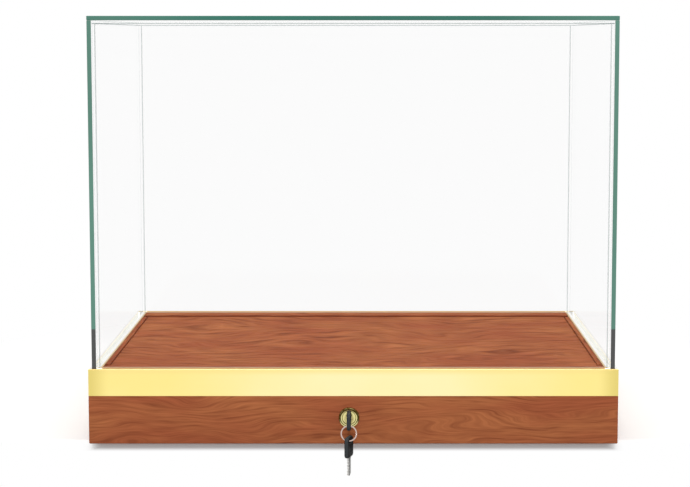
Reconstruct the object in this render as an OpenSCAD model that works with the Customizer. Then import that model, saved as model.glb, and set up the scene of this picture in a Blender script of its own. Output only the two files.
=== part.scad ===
// Countertop display case: a wooden base with a raised deck, and a lift-off hood of
// five bonded glass panes in a gold aluminium frame, held down by a cam lock.
// Millimetres. The origin is the centre of the flat underside, +Z is up, and the
// front, with the lock, faces -Y.

/* [Case] */
// Width over the base and the frame
case_w = 610; // [450:5:900]
// Depth over the base and the frame
case_d = 406; // [300:2:600]
// Height from the counter to the top of the glass
case_h = 491.5; // [300:0.5:700]

/* [Wooden base] */
// Height of the boards' face, up to the ledge that the frame stands on
base_h = 55.8; // [53:0.1:70]
// Gap between the frame and the raised deck that it drops over
hood_gap = 0.5; // [0.3:0.1:1.5]
// Thickness of the front and side rails inside the boards
rail_t = 18; // [17:0.5:26]
// Width of the border that shows round the deck at the front and sides
rim_side = 5; // [4:0.1:9]
// Width of the border that shows at the back of the deck
rim_back = 19.7; // [6:0.1:30]
// How far the border's top lies below the top of the frame
rim_drop = 0.2; // [0:0.1:2]
// Thickness of the deck panel
deck_t = 6; // [4:0.5:12]
// How far the deck panel lies below its border
deck_drop = 2; // [0.5:0.1:5]
// Thickness of the bottom panel
bottom_t = 5; // [4:0.5:9]
// Bevel along the outer bottom edges of the boards
board_bevel = 1; // [0.3:0.1:2]
// Width of each bearer under the deck panel
bearer_w = 22; // [15:1:40]
// Height of each bearer under the deck panel
bearer_h = 30; // [20:1:40]
// Distance between the two bearers' centres
bearer_spacing = 190; // [100:5:300]
// Leg of the triangular block in each corner of the base
block_leg = 32; // [20:1:50]
// Height of each corner block
block_h = 45; // [20:1:48]

/* [Bottom screws] */
// Diameter of a bottom screw's shank
screw_d = 3.5; // [3:0.1:4.5]
// Diameter of a bottom screw's countersunk head
screw_head_d = 7; // [6:0.1:8.5]
// Length of a bottom screw
screw_l = 22; // [15:1:30]
// Distance of the outer screws from the ends of the front and back rails
screw_end = 60; // [30:1:100]

/* [Frame] */
// Width of the frame, seen from above
frame_w = 14.5; // [14:0.1:17]
// Height of the frame
frame_h = 31.5; // [28:0.5:45]
// Thickness of the lip outside the glass
lip_out = 3.2; // [2.4:0.1:4]
// Depth of the groove that holds the glass
groove_h = 12; // [8:0.5:14]
// Thickness of the walls round the frame's hollow
frame_wall = 2.2; // [1.6:0.1:3]
// Radius along the frame's outer edges
frame_r = 0.6; // [0.2:0.1:1]
// Length of each leg of a corner key
key_leg = 30; // [20:1:45]
// Clearance between a corner key and the frame's hollow
key_fit = 0.1; // [0.05:0.05:0.3]

/* [Glass] */
// Thickness of the panes
glass_t = 5; // [4:0.5:6]
// Thickness of the seal on each side of the glass
seal_t = 0.5; // [0.3:0.1:0.8]
// Bevel that takes the sharpness off each pane's edges
arris = 0.5; // [0.2:0.1:1]
// Bond line between one pane and the next
bond = 0.1; // [0.05:0.05:0.3]
// Leg of the clear bead in each inner corner of the glass
bead_leg = 4.2; // [2:0.1:8]

/* [Lock] */
// Distance of the lock's axis from the middle of the case
lock_x = -5; // [-60:1:60]
// Depth of the lock's axis below the frame
lock_drop = 24.9; // [23:0.1:27]
// Depth of the pocket behind the lock, for its nut, its cam and the strike
pocket_depth = 10; // [9.6:0.1:11]
// Diameter of the lock's flange
flange_d = 23.8; // [22:0.1:26]
// Thickness of the flange
flange_t = 2; // [1.8:0.1:3]
// Radius of the flange's rounded rim
flange_round = 1.2; // [0.4:0.1:1.6]
// Diameter of the lock's barrel
barrel_d = 19; // [18:0.1:20]
// Distance across the barrel's two flats
barrel_flats = 16.4; // [15.5:0.1:17.5]
// Length of the barrel behind the flange
barrel_l = 22; // [20.5:0.1:24]
// Diameter of the turning plug inside the barrel
plug_d = 13.8; // [13:0.1:14.5]
// Ledge of the plug's head, which shows as the lock's inner disc
head_ledge = 0.7; // [0.5:0.1:1]
// Thickness of the plug's head
head_t = 1.1; // [0.8:0.1:1.2]
// How far the plug's face lies behind the flange's
plug_drop = 0.4; // [0.2:0.1:0.6]
// Distance across the nut's flats
nut_af = 24; // [23:0.5:26]
// Thickness of the nut
nut_t = 4; // [3:0.1:4.2]
// Thickness of the cam
cam_t = 2; // [1.5:0.1:2.2]
// Width of the cam's arm
cam_w = 8; // [7:0.1:9]
// Distance between the cam's swing and the nut
cam_clear = 2.5; // [1.5:0.1:2.5]
// Free space round the cam's tip as it turns
cam_space = 1.2; // [1:0.1:2]
// Play of the locked hood
strike_play = 0.8; // [0.4:0.1:1.5]
// Thickness of the strike
strike_t = 2; // [1.5:0.1:2]
// Length of the strike's flange
strike_flange = 21; // [20:0.5:30]
// Diameter of the strike's screws
strike_screw_d = 2.5; // [2:0.1:2.5]

/* [Keys] */
// Width of a key's bow
bow_w = 20; // [18:0.5:24]
// Length of a key's bow
bow_l = 24; // [22:0.5:30]
// Thickness of a key's bow
bow_t = 4.8; // [4:0.1:5.2]
// Radius of the bow's two outer corners
bow_r = 5; // [3:0.5:6]
// Distance from the blade at which the bow reaches its full width
bow_waist = 4.2; // [4.2:0.1:12]
// Length of a key's blade
blade_l = 21.5; // [18:0.1:22]
// Width of a key's blade
blade_w = 8.4; // [7:0.1:8.8]
// Thickness of a key's blade
blade_t = 2; // [1.8:0.1:2.4]
// Gap between the inserted key's bow and the lock's flange
bow_gap = 1; // [0.5:0.1:3]
// Length of the slot in a bow
slot_l = 12.8; // [11:0.1:13]
// Width of the slot in a bow
slot_w = 4.5; // [4.2:0.1:5]
// Outer diameter of the split ring
ring_d = 19; // [18.5:0.1:24]
// Thickness of the split ring
wire_d = 1.6; // [1.4:0.1:1.8]
// How far the spare key hangs turned from edge-on
spare_turn = -18; // [-40:1:40]

/* [Hidden] */
$fn = 48;

// Cuts run this far past a face, so that they leave no skin
past = 1;
// Thickness of the thin discs that a bevel is stretched between
leaf = 0.02;
// Running clearance between turning metal parts, per side
run_fit = 0.05;
// Clearance of a screw in its hole, per side
hole_fit = 0.05;

front_y = -case_d / 2;
// The boards are as thick as the ledge that the frame needs
board_t = frame_w + hood_gap;
inner_w = case_w - 2 * board_t;
inner_d = case_d - 2 * board_t;
frame_top = base_h + frame_h;
rim_z = frame_top - rim_drop;
deck_z = rim_z - deck_drop;
// The rails' rebate carries the deck panel, which leaves the border standing
rebate = rail_t - rim_side;
back_rail_t = rim_back + rebate;
deck_fit = 0.2;
deck_bevel = 0.4;
panel_fit = 0.3;

groove_w = glass_t + 2 * seal_t;
hollow_w = frame_w - 2 * frame_wall;
hollow_h = frame_h - groove_h - 2 * frame_wall;
// Outer face of the glass walls, measured in from the case's outer face
glass_in = lip_out + seal_t;
glass_w = case_w - 2 * glass_in;
glass_d = case_d - 2 * glass_in;
glass_z = frame_top - groove_h + seal_t;
glass_top_z = case_h - glass_t;
// Inside faces of the glass walls
clear_w = glass_w - 2 * glass_t;
clear_d = glass_d - 2 * glass_t;

// The wood in front of the lock's pocket, which the lock is clamped to
skin_t = board_t - pocket_depth;
lock_z = base_h - lock_drop;
plug_head_d = plug_d + 2 * head_ledge;
// Depths of the lock's parts, measured inward from the case's front face
tip_in = skin_t + nut_t + cam_clear;
cam_in = barrel_l + 2 * run_fit;
tail_in = cam_in + cam_t;
cam_screw_head = 2.4;
cam_screw_head_d = 10;
cam_screw_d = 4;
cam_screw_l = 3;
// The cam's tip turns just below the frame
cam_corner = lock_drop - cam_space;
cam_reach = sqrt(pow(cam_corner, 2) - pow(cam_w / 2, 2));
// The cam's crank passes the barrel at this radius
barrel_gap = 1.5;
crank_r = barrel_d / 2 + barrel_gap;
// The plug's square tail is as wide as the cam's arm
tail_w = cam_w;
swing_space = 1;
recess_r = norm([crank_r + cam_t, cam_w / 2]) + swing_space;
recess_in = tail_in + cam_screw_head + swing_space;

// The strike hangs beside the nut and hooks under the locked cam
nut_space = 2.5;
strike_gap = 0.5;
strike_overhang = 0.8;
strike_x = nut_af / 2 + nut_space;
strike_w = cam_reach + strike_overhang - strike_x;
strike_in = skin_t + strike_gap;
foot_top = -cam_w / 2 - strike_play;
foot_past_cam = 0.2;
strike_bend = 1;
strike_head_d = 5;
strike_head_h = 1.5;
// How far the strike's screws reach beyond the frame's lower wall
strike_screw_past = 3;
strike_screw_in = strike_in + strike_t + strike_bend + strike_head_d / 2;
// The strike's flange ends just short of the frame's inner face
flange_short = 0.3;
pocket_space = 1.5;
pocket_half_w = strike_x + strike_flange + pocket_space;
pocket_z = lock_z - nut_af / sqrt(3) - nut_space;

// A bow's slot leaves webs of one thickness at its end and at its sides
web = (bow_w - slot_l) / 2;
bow_waist_r = 4;
bow_neck_r = 2;
// The bow's edge is rounded in two steps, each as [how far in from the rim, how far
// down from the face]
BOW_EDGE = [[1.3, 0], [0.5, 0.45], [0, 1.2]];
slot_bevel = 1;
tang_l = 8;
// The tang inside the bow is narrower than the blade by a shoulder on each side
tang_w = blade_w - 2;
shoulder = flange_t + bow_gap;
slot_v = bow_l - web - slot_w / 2;
key_play = 0.3;
keyway_w = blade_t + key_play;
keyway_h = blade_w + key_play;
// The keyway runs a little further in than the blade
key_end_gap = 1;
keyway_in = blade_l - shoulder + key_end_gap;
// The ring turns about the middle of the web below the slot, clear of its corners
web_fit = 0.07;
web_r = norm([bow_t / 2, web / 2 - slot_bevel]) + web_fit;
ring_y = front_y - shoulder - slot_v;
ring_pivot_z = lock_z - (bow_w + slot_l) / 4;
ring_z = ring_pivot_z - (ring_d / 2 - wire_d - web_r);
spare_z = ring_z - ring_d / 2 + wire_d / 2;
// Gap between the ring's wire and the web of the spare key that hangs on it
spare_gap = 0.8;
// Depths of the cuts along a blade, from the shoulder to the tip
CUTS = [1.2, 2.2, 1.5, 2.5, 1.8];

CHERRY = [0.62, 0.38, 0.26];
PLY = [0.78, 0.66, 0.48];
GOLD = [0.93, 0.84, 0.55];
GLASS = [0.75, 0.9, 0.85, 0.35];
BRASS = [0.85, 0.76, 0.5];
STEEL = [0.7, 0.71, 0.73];
NICKEL = [0.78, 0.77, 0.76];
BLACK = [0.1, 0.1, 0.11];
SILICONE = [0.88, 0.87, 0.83];

// Lays a profile along one side of a w by d rectangle and mitres its ends. The profile's
// X runs inward from the outer face and its Y runs up. Side 0 is the front, 1 the right,
// 2 the back and 3 the left.
module run_along(side, w, d, width, height) {
    len = side % 2 == 0 ? w : d;
    out = (side % 2 == 0 ? d : w) / 2;
    rotate([0, 0, 90 * side])
        intersection() {
            translate([-len / 2, -out, 0])
                rotate([90, 0, 90]) linear_extrude(len) children();
            translate([0, -out, -past])
                linear_extrude(height + 2 * past)
                    polygon([
                        [-len / 2, 0], [len / 2, 0],
                        [len / 2 - width, width], [width - len / 2, width]
                    ]);
        }
}

// What is left when a corner at the origin, open towards -X -Y, is rounded
module corner_waste(r) {
    difference() {
        translate([-past, -past]) square([r + past, r + past]);
        translate([r, r]) circle(r);
    }
}

// A flat pane or panel standing on Z = 0, with a bevel along all its edges
module pane(w, t, h, bevel) {
    intersection() {
        linear_extrude(h) bevelled(w, t, bevel);
        translate([-w / 2, 0, h / 2])
            rotate([90, 0, 90]) linear_extrude(w) bevelled(t, h, bevel);
        translate([0, t / 2, h / 2])
            rotate([90, 0, 0]) linear_extrude(t) square([w, h], center = true);
    }
}

module bevelled(w, h, b) {
    x = w / 2;
    y = h / 2;
    polygon([
        [b - x, -y], [x - b, -y], [x, b - y], [x, y - b],
        [x - b, y], [b - x, y], [-x, y - b], [-x, b - y]
    ]);
}

// Places the lock's parts: Z points out of the case's front face and Y points up
module at_lock() {
    translate([lock_x, front_y, lock_z]) rotate([90, 0, 0]) children();
}

// Lays a profile at the lock, with its X running inward and its Y up, from x on
module beside_lock(x, w) {
    translate([lock_x + x, front_y, lock_z])
        rotate([90, 0, 90]) linear_extrude(w) children();
}

module board(side) {
    run_along(side, case_w, case_d, board_t, base_h)
        polygon([
            [board_bevel, 0], [board_t, 0], [board_t, base_h],
            [0, base_h], [0, board_bevel]
        ]);
}

// The front board has the lock's hole, and behind it a pocket, open at the top, in
// which the cam turns and the hood's strike hangs
module front_board() {
    color(CHERRY)
        difference() {
            board(0);
            translate([
                lock_x - pocket_half_w, front_y + skin_t, pocket_z
            ]) cube([2 * pocket_half_w, board_t, base_h]);
            at_lock()
                intersection() {
                    cylinder(h = 4 * board_t, d = barrel_d + 4 * run_fit, center = true);
                    cube([barrel_flats + 4 * run_fit, 2 * barrel_d, 4 * board_t + past],
                         center = true);
                }
        }
}

module right_board() { color(CHERRY) board(1); }
module back_board() { color(CHERRY) board(2); }
module left_board() { color(CHERRY) board(3); }

// Where the bottom screws go, along each side
function screw_spots() = concat(
    [for (x = [-1, 1], y = [-1, 1]) [
        x * (inner_w / 2 - screw_end), y * (inner_d / 2 - rail_t / 2)
    ]],
    [for (x = [-1, 1], y = [-1, 1]) [
        x * (inner_w / 2 - screw_end) / 3, y * (inner_d / 2 - rail_t / 2)
    ]],
    [for (x = [-1, 1]) [x * (inner_w / 2 - rail_t / 2), 0]]
);

// A countersunk screw pointing up, or its hole when it is grown by a clearance
module bottom_screw(grow) {
    head_h = (screw_head_d - screw_d) / 2;
    sink = 0.3;
    translate([0, 0, sink])
        union() {
            cylinder(h = head_h, d1 = screw_head_d + 2 * grow, d2 = screw_d + 2 * grow);
            cylinder(h = screw_l + grow, d = screw_d + 2 * grow);
        }
    if (grow > 0)
        translate([0, 0, -past])
            cylinder(h = past + sink, d = screw_head_d + 2 * grow);
}

module screw_holes() {
    for (spot = screw_spots()) translate([spot[0], spot[1], 0]) bottom_screw(hole_fit);
}

// A rail from the bottom panel to the border's top, with the rebate for the deck panel.
// Its profile's X runs inward from the boards.
module rail_profile(t) {
    polygon([
        [0, bottom_t], [t, bottom_t], [t, deck_z - deck_t],
        [t - rebate, deck_z - deck_t], [t - rebate, rim_z], [0, rim_z]
    ]);
}

module front_rail() {
    color(CHERRY)
        difference() {
            translate([-inner_w / 2, -inner_d / 2, 0])
                rotate([90, 0, 90]) linear_extrude(inner_w) rail_profile(rail_t);
            at_lock() translate([0, 0, -recess_in])
                cylinder(h = recess_in, r = recess_r);
            screw_holes();
        }
}

module back_rail() {
    color(CHERRY)
        difference() {
            rotate([0, 0, 180]) translate([-inner_w / 2, -inner_d / 2, 0])
                rotate([90, 0, 90]) linear_extrude(inner_w) rail_profile(back_rail_t);
            screw_holes();
        }
}

// A side rail stands between the front and back rails
module side_rail(side) {
    len = inner_d - rail_t - back_rail_t;
    mid_y = (rail_t - back_rail_t) / 2;
    difference() {
        translate([0, mid_y, 0]) rotate([0, 0, 90 * side])
            translate([-len / 2, -inner_w / 2, 0])
                rotate([90, 0, 90]) linear_extrude(len) rail_profile(rail_t);
        screw_holes();
    }
}

module right_rail() { color(CHERRY) side_rail(1); }
module left_rail() { color(CHERRY) side_rail(3); }

module deck_panel() {
    w = inner_w - 2 * rim_side - 2 * deck_fit;
    d = inner_d - rim_side - rim_back - 2 * deck_fit;
    color(CHERRY)
        translate([0, (rim_side - rim_back) / 2, deck_z])
            rotate([-90, 0, 0]) translate([0, deck_t / 2, -d / 2])
                pane(w, deck_t, d, deck_bevel);
}

module deck_bearers() {
    len = inner_d - rail_t - back_rail_t;
    mid_y = (rail_t - back_rail_t) / 2;
    color(PLY)
        for (x = [-1, 1])
            translate([
                x * bearer_spacing / 2 - bearer_w / 2, mid_y - len / 2,
                deck_z - deck_t - bearer_h
            ]) cube([bearer_w, len, bearer_h]);
}

// Triangular blocks on the bottom panel stiffen the corners between the rails
module corner_blocks() {
    x = inner_w / 2 - rail_t;
    color(PLY)
        for (s = [-1, 1]) {
            translate([s * x, rail_t - inner_d / 2, bottom_t])
                linear_extrude(block_h)
                    polygon([[0, 0], [-s * block_leg, 0], [0, block_leg]]);
            translate([s * x, inner_d / 2 - back_rail_t, bottom_t])
                linear_extrude(block_h)
                    polygon([[0, 0], [-s * block_leg, 0], [0, -block_leg]]);
        }
}

module bottom_panel() {
    color(PLY)
        difference() {
            translate([panel_fit - inner_w / 2, panel_fit - inner_d / 2, 0])
                cube([inner_w - 2 * panel_fit, inner_d - 2 * panel_fit, bottom_t]);
            screw_holes();
        }
}

module bottom_screws() {
    color(STEEL)
        for (spot = screw_spots()) translate([spot[0], spot[1], 0]) bottom_screw(0);
}

// The extrusion of the frame: a groove for the glass over a closed hollow
module frame_profile() {
    difference() {
        square([frame_w, frame_h]);
        translate([lip_out, frame_h - groove_h]) square([groove_w, groove_h + past]);
        translate([frame_wall, frame_wall]) square([hollow_w, hollow_h]);
        corner_waste(frame_r);
        translate([0, frame_h]) mirror([0, 1]) corner_waste(frame_r);
        translate([frame_w, frame_h]) mirror([1, 0]) mirror([0, 1])
            corner_waste(frame_r);
    }
}

module frame_member(side) {
    translate([0, 0, base_h])
        run_along(side, case_w, case_d, frame_w, frame_h) frame_profile();
}

// The strike is screwed up into the front member
module frame_front() {
    color(GOLD)
        difference() {
            frame_member(0);
            strike_screw_spots()
                cylinder(h = 2 * (frame_wall + strike_screw_past + past),
                         d = strike_screw_d + 2 * hole_fit, center = true);
        }
}

module frame_right() { color(GOLD) frame_member(1); }
module frame_back() { color(GOLD) frame_member(2); }
module frame_left() { color(GOLD) frame_member(3); }

// L-shaped keys inside the hollow join the frame's corners
module corner_keys() {
    inset = frame_wall + key_fit;
    w = hollow_w - 2 * key_fit;
    h = hollow_h - 2 * key_fit;
    color(STEEL)
        for (sx = [-1, 1], sy = [-1, 1])
            translate([0, 0, base_h + frame_wall + key_fit])
                linear_extrude(h)
                    scale([sx, sy])
                        translate([case_w / 2 - inset, case_d / 2 - inset])
                            union() {
                                translate([-key_leg, -w]) square([key_leg, w]);
                                translate([-w, -key_leg]) square([w, key_leg]);
                            }
}

// A band of even width that follows the frame, from one inset to another
module band(from, to, h) {
    difference() {
        linear_extrude(h)
            square([case_w - 2 * from, case_d - 2 * from], center = true);
        translate([0, 0, -past]) linear_extrude(h + 2 * past)
            square([case_w - 2 * to, case_d - 2 * to], center = true);
    }
}

// One U-shaped silicone channel runs round the groove and holds the glass walls
module glazing_seal() {
    seal_drop = 0.4;
    lip_h = groove_h - seal_drop;
    color(SILICONE)
        translate([0, 0, frame_top - groove_h])
            union() {
                band(lip_out, glass_in, lip_h);
                band(lip_out, lip_out + groove_w, seal_t);
                band(glass_in + glass_t, lip_out + groove_w, lip_h);
            }
}

// The side walls run the full depth, and the front and back walls stand between them
module glass_wall(side) {
    across = side % 2 == 0 ? clear_w - 2 * bond : glass_d;
    out = (side % 2 == 0 ? glass_d : glass_w) / 2;
    color(GLASS)
        rotate([0, 0, 90 * side]) translate([0, glass_t / 2 - out, glass_z])
            pane(across, glass_t, glass_top_z - bond - glass_z, arris);
}

module glass_front() { glass_wall(0); }
module glass_right() { glass_wall(1); }
module glass_back() { glass_wall(2); }
module glass_left() { glass_wall(3); }

module glass_top() {
    color(GLASS)
        translate([0, 0, case_h]) rotate([-90, 0, 0])
            translate([0, glass_t / 2, -glass_d / 2])
                pane(glass_w, glass_t, glass_d, arris);
}

// The three-cornered section of a bead, in the corner at the origin
module bead_section(leg) {
    polygon([[bond, bond], [leg, bond], [bond, leg]]);
}

// Clear beads in the four standing corners
module corner_beads() {
    z = frame_top;
    h = glass_top_z - bond - bead_leg - z;
    color(GLASS)
        for (sx = [0, 1], sy = [0, 1])
            mirror([sx, 0, 0]) mirror([0, sy, 0])
                translate([-clear_w / 2, -clear_d / 2, z])
                    linear_extrude(h) bead_section(bead_leg);
}

// Clear beads under the top pane
module top_beads() {
    color(GLASS)
        for (side = [0:3])
            translate([0, 0, glass_top_z - bead_leg])
                run_along(side, clear_w, clear_d, bead_leg, bead_leg)
                    translate([0, bead_leg]) mirror([0, 1]) bead_section(bead_leg);
}

// The brass housing: a flange with a rounded rim, and a barrel with two flats
module lock_housing() {
    r = flange_d / 2;
    bore_r = plug_d / 2 + run_fit;
    head_r = plug_head_d / 2 + run_fit;
    head_floor = flange_t - plug_drop - head_t - 2 * run_fit;
    mouth_w = 0.5;
    mouth_drop = 0.2;
    color(BRASS)
        at_lock()
            difference() {
                rotate_extrude($fn = 96)
                    polygon(concat(
                        [[bore_r, -barrel_l], [barrel_d / 2, -barrel_l],
                         [barrel_d / 2, 0], [r, 0]],
                        [for (a = [0:15:90])
                            [r + flange_round * (cos(a) - 1),
                             flange_t + flange_round * (sin(a) - 1)]],
                        [[head_r + mouth_w, flange_t], [head_r, flange_t - mouth_drop],
                         [head_r, head_floor], [bore_r, head_floor]]
                    ));
                for (s = [-1, 1])
                    translate([
                        s * (barrel_flats / 2 + barrel_d / 2), 0, -barrel_l / 2 - past
                    ]) cube([barrel_d, 2 * barrel_d, barrel_l + 2 * past],
                            center = true);
            }
}

module lock_nut() {
    color(BRASS)
        at_lock() translate([0, 0, -skin_t - nut_t])
            difference() {
                rotate([0, 0, 30]) cylinder(h = nut_t, d = nut_af / cos(30), $fn = 6);
                translate([0, 0, -past])
                    cylinder(h = nut_t + 2 * past, d = barrel_d + 2 * run_fit);
            }
}

// Where the strike's screws stand, on the frame's underside
module strike_screw_spots() {
    for (x = [strike_w / 2, strike_flange - strike_head_d])
        translate([lock_x + strike_x + x, front_y + strike_screw_in, base_h])
            children();
}

// A steel strip bent twice: a flange under the frame, a leg, and the foot that the
// locked cam catches
module lock_strike() {
    top = lock_drop;
    end = tip_in + cam_t + foot_past_cam;
    outer = strike_bend + strike_t;
    color(STEEL)
        difference() {
            union() {
                beside_lock(strike_x, strike_w)
                    union() {
                        translate([strike_in, foot_top + strike_bend])
                            square([strike_t, top - foot_top - 2 * strike_bend
                                              - strike_t]);
                        translate([strike_in + outer, foot_top - strike_t])
                            square([end - strike_in - outer, strike_t]);
                        translate([strike_in + outer, foot_top + strike_bend])
                            quarter_bend();
                        translate([strike_in + outer, top - outer])
                            mirror([0, 1]) quarter_bend();
                    }
                beside_lock(strike_x, strike_flange)
                    translate([strike_in + outer, top - strike_t])
                        square([frame_w - flange_short - strike_in - outer, strike_t]);
            }
            strike_screw_spots()
                cylinder(h = 4 * strike_t, d = strike_screw_d + 2 * hole_fit,
                         center = true);
        }
}

// A quarter of the strip's bend, from its leg down to its foot
module quarter_bend() {
    r = strike_bend + strike_t;
    intersection() {
        difference() {
            circle(r);
            circle(strike_bend);
        }
        translate([-r, -r]) square([r, r]);
    }
}

module strike_screws() {
    color(STEEL)
        strike_screw_spots()
            union() {
                translate([0, 0, -strike_t - strike_head_h])
                    cylinder(h = strike_head_h, d = strike_head_d);
                translate([0, 0, -strike_t])
                    cylinder(h = strike_t + frame_wall + strike_screw_past,
                             d = strike_screw_d);
            }
}

// The plug: a head that shows in the flange, the keyway, and a square tail for the cam
module lock_plug() {
    face = flange_t - plug_drop;
    color(BRASS)
        at_lock()
            difference() {
                union() {
                    translate([0, 0, face - head_t])
                        cylinder(h = head_t, d = plug_head_d);
                    translate([0, 0, -barrel_l])
                        cylinder(h = barrel_l + face - head_t, d = plug_d);
                    translate([0, 0, -tail_in / 2 - barrel_l / 2])
                        cube([tail_w, tail_w, tail_in - barrel_l], center = true);
                }
                translate([-keyway_w / 2, -keyway_h / 2, -keyway_in])
                    cube([keyway_w, keyway_h, keyway_in + shoulder]);
                translate([0, 0, -tail_in - past])
                    cylinder(h = past + cam_screw_l + 2 * hole_fit,
                             d = cam_screw_d + 2 * hole_fit);
            }
}

// The cam is cranked forward, round the end of the barrel, to reach the strike
module lock_cam() {
    color(STEEL)
        at_lock()
            difference() {
                union() {
                    translate([0, 0, -tail_in]) cylinder(h = cam_t, d = 2 * tail_w);
                    translate([-cam_w / 2, 0, -tail_in])
                        cube([cam_w, crank_r + cam_t, cam_t]);
                    translate([-cam_w / 2, crank_r, -tail_in])
                        cube([cam_w, cam_t, tail_in - tip_in]);
                    translate([-cam_w / 2, crank_r, -tip_in - cam_t])
                        cube([cam_w, cam_reach - crank_r, cam_t]);
                }
                cube([tail_w + 2 * run_fit, tail_w + 2 * run_fit, 4 * barrel_l],
                     center = true);
            }
}

module cam_screw() {
    cross_w = 1;
    cross_l = 5;
    cross_deep = 1.2;
    color(STEEL)
        at_lock() translate([0, 0, -tail_in])
            difference() {
                union() {
                    translate([0, 0, -cam_screw_head])
                        cylinder(h = cam_screw_head, d = cam_screw_head_d);
                    cylinder(h = cam_screw_l, d = cam_screw_d);
                }
                for (a = [0, 90])
                    rotate([0, 0, a]) translate([0, 0, -cam_screw_head])
                        cube([cross_w, cross_l, 2 * cross_deep], center = true);
            }
}

// A key's moulded bow. X is its thickness, Y its width, and Z runs from the blade's
// shoulder to the bow's outer end.
module bow() {
    difference() {
        hull() {
            for (s = [-1, 1]) {
                pill(s * (bow_w / 2 - bow_r), bow_l - bow_r, bow_r);
                pill(s * (bow_w / 2 - bow_waist_r), bow_waist, bow_waist_r);
                pill(s * (tang_w / 2), bow_neck_r, bow_neck_r);
            }
        }
        slot_cut(0, bow_t + past);
        for (s = [0, 1]) mirror([s, 0, 0])
            hull() {
                translate([bow_t / 2 - slot_bevel, 0, 0]) slot_cut(0, leaf);
                translate([bow_t / 2, 0, 0]) slot_cut(slot_bevel, leaf);
            }
        translate([0, 0, tang_l / 2])
            cube([blade_t + 2 * hole_fit, tang_w + 2 * hole_fit, tang_l + 2 * hole_fit],
                 center = true);
        translate([0, 0, -past / 2])
            cube([2 * bow_t, 2 * bow_w, past], center = true);
    }
}

// A disc with a rounded rim, standing across the bow's thickness
module pill(y, z, r) {
    translate([0, y, z]) rotate([0, 90, 0])
        for (step = BOW_EDGE)
            cylinder(h = bow_t - 2 * step[1], r = r - step[0], center = true, $fn = 32);
}

// The slot for the ring, across the bow and t thick, grown by some amount
module slot_cut(grow, t) {
    r = slot_w / 2 + grow;
    hull()
        for (s = [-1, 1])
            translate([0, s * (slot_l - slot_w) / 2, slot_v]) rotate([0, 90, 0])
                cylinder(h = t, r = r, center = true, $fn = 32);
}

// A key's blade with its cuts, a groove on each face, and the tang inside the bow
module blade() {
    half = blade_w / 2;
    first_cut = 4.5;
    last_cut = 3.5;
    pitch = (blade_l - first_cut - last_cut) / (len(CUTS) - 1);
    // A cut as [along the blade in half pitches, share of the cut's depth]
    cut_shape = [[-0.9, 0], [-0.27, 1], [0.27, 1], [0.9, 0]];
    tip = 2.5;
    mill_w = 1.3;
    mill_deep = 0.35;
    mill_v = 2.6;
    difference() {
        rotate([90, 0, 90])
            linear_extrude(blade_t, center = true)
                polygon(concat(
                    [[-tang_w / 2, tang_l], [-tang_w / 2, 0], [-half, 0]],
                    [for (i = [0:len(CUTS) - 1], p = cut_shape)
                        [CUTS[i] * p[1] - half, -first_cut - (i + p[0] / 2) * pitch]],
                    [[tip - half, -blade_l], [half - tip, -blade_l],
                     [half, tip - blade_l], [half, 0],
                     [tang_w / 2, 0], [tang_w / 2, tang_l]]
                ));
        for (s = [-1, 1])
            translate([s * blade_t / 2, half - mill_v, -blade_l / 2 - past])
                cube([2 * mill_deep, mill_w, blade_l], center = true);
    }
}

module key_blade() { color(NICKEL) at_lock() translate([0, 0, shoulder]) blade(); }
module key_bow() { color(BLACK) at_lock() translate([0, 0, shoulder]) bow(); }

// The split ring: two turns of half-round wire side by side, joined where the wire
// crosses from one to the other
module split_ring() {
    mid_r = (ring_d - wire_d) / 2;
    split = 0.1;
    end_gap = 0.4;
    cross = 14;
    color(NICKEL)
        translate([lock_x, ring_y, ring_z]) rotate([90, 0, 0])
            difference() {
                rotate_extrude($fn = 96) translate([mid_r, 0]) circle(d = wire_d);
                rotate_extrude(angle = 360 - cross, $fn = 96)
                    translate([mid_r - wire_d, -split / 2]) square([2 * wire_d, split]);
                translate([mid_r - wire_d, 0, 0])
                    cube([2 * wire_d, end_gap, wire_d]);
                rotate([0, 0, -cross])
                    translate([mid_r - wire_d, -end_gap, -wire_d])
                        cube([2 * wire_d, end_gap, wire_d]);
            }
}

// The spare key hangs from the bottom of the ring, blade down
module at_spare() {
    translate([lock_x, ring_y, spare_z])
        rotate([0, 0, spare_turn])
            translate([0, 0, wire_d / 2 + spare_gap - slot_v - slot_w / 2])
                children();
}

module spare_blade() { color(NICKEL) at_spare() blade(); }
module spare_bow() { color(BLACK) at_spare() bow(); }

front_board();
right_board();
back_board();
left_board();
front_rail();
right_rail();
back_rail();
left_rail();
deck_panel();
deck_bearers();
corner_blocks();
bottom_panel();
bottom_screws();
lock_housing();
lock_nut();
frame_front();
frame_right();
frame_back();
frame_left();
corner_keys();
glazing_seal();
glass_front();
glass_right();
glass_back();
glass_left();
glass_top();
corner_beads();
top_beads();
lock_strike();
strike_screws();
lock_plug();
lock_cam();
cam_screw();
key_blade();
key_bow();
split_ring();
spare_blade();
spare_bow();
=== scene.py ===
# %% [markdown]
# A countertop display case, dressed for its photograph: a cherry laminate base, a gold
# anodised frame, five bonded glass panes, and a brass cam lock with two keys on a ring.
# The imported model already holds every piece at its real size, so this lesson is mostly
# about finishes, and about the small pieces whose edges and curves a camera would miss.

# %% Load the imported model
import math

import bmesh
import bpy
from mathutils import Matrix, Vector


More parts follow.
